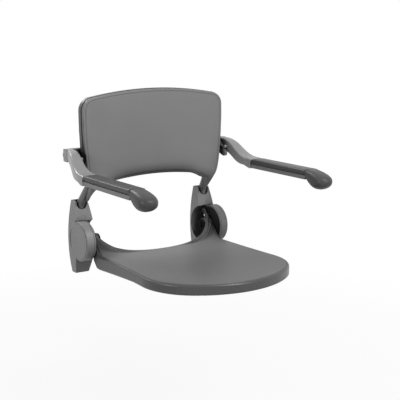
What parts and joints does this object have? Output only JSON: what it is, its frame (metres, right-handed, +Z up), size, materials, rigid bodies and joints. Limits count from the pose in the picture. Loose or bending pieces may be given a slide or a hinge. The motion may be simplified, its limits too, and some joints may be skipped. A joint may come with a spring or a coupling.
{
  "type": "fold down wall seat",
  "caption": "Wall-mounted seat that folds up on two hub hinges, with a fixed padded backrest and two arm rests that lift.",
  "frame": {"origin": "on the wall plane, midway between the four wall screws, at the height of the seat's hinge", "axes": "+X along the wall, +Y into the wall, +Z up; the room is at negative Y"},
  "size_m": [0.574, 0.541, 0.503],
  "materials": {
    "cast_grey": "satin powder coat",
    "cap_grey": "matte",
    "steel": "brushed",
    "plate_steel": "blackened",
    "bush_plastic": "matte",
    "black_steel": "blackened",
    "screw_steel": "brushed",
    "post_grey": "satin powder coat",
    "plug_plastic": "matte",
    "neck_grey": "satin powder coat",
    "beam_plastic": "matte",
    "arm_foam": "matte skin",
    "shell_plastic": "semi-gloss",
    "seat_foam": "matte skin",
    "back_plastic": "matte",
    "back_foam": "matte skin"
  },
  "bodies": {
    "frame": {"left_bracket": "cast_grey", "right_bracket": "cast_grey", "left_hub_cap": "cap_grey", "right_hub_cap": "cap_grey", "left_hub_axle": "steel", "right_hub_axle": "steel", "left_stop_pin": "steel", "right_stop_pin": "steel", "left_end_washer": "black_steel", "right_end_washer": "black_steel", "left_end_screw": "black_steel", "right_end_screw": "black_steel", "left_post": "post_grey", "right_post": "post_grey", "left_post_plug": "plug_plastic", "right_post_plug": "plug_plastic", "left_back_clamp": "cast_grey", "right_back_clamp": "cast_grey", "left_arm_mount": "cast_grey", "right_arm_mount": "cast_grey", "left_arm_pin": "steel", "right_arm_pin": "steel", "backrest_shell": "back_plastic", "backrest_pad": "back_foam", "well_covers": "plug_plastic", "backrest_screws": "screw_steel"},
    "seat": {"seat_shell": "shell_plastic", "seat_pad": "seat_foam", "hinge_screws": "screw_steel", "left_hinge_plate": "plate_steel", "left_hub_bush": "bush_plastic", "right_hinge_plate": "plate_steel", "right_hub_bush": "bush_plastic"},
    "left_arm": {"left_arm_neck": "neck_grey", "left_arm_base": "beam_plastic", "left_arm_pad": "arm_foam", "left_arm_screws": "screw_steel"},
    "right_arm": {"right_arm_neck": "neck_grey", "right_arm_base": "beam_plastic", "right_arm_pad": "arm_foam", "right_arm_screws": "screw_steel"}
  },
  "joints": [
    {"name": "seat_fold", "type": "hinge", "parent": "frame", "child": "seat", "pos_m": [0, -0.06, 0], "axis": [-1, 0, 0], "range_deg": [0, 88]},
    {"name": "left_arm_lift", "type": "hinge", "parent": "frame", "child": "left_arm", "pos_m": [-0.245, -0.043, 0.236], "axis": [-1, 0, 0], "range_deg": [0, 90]},
    {"name": "right_arm_lift", "type": "hinge", "parent": "frame", "child": "right_arm", "pos_m": [0.245, -0.043, 0.236], "axis": [-1, 0, 0], "range_deg": [0, 90]}
  ]
}
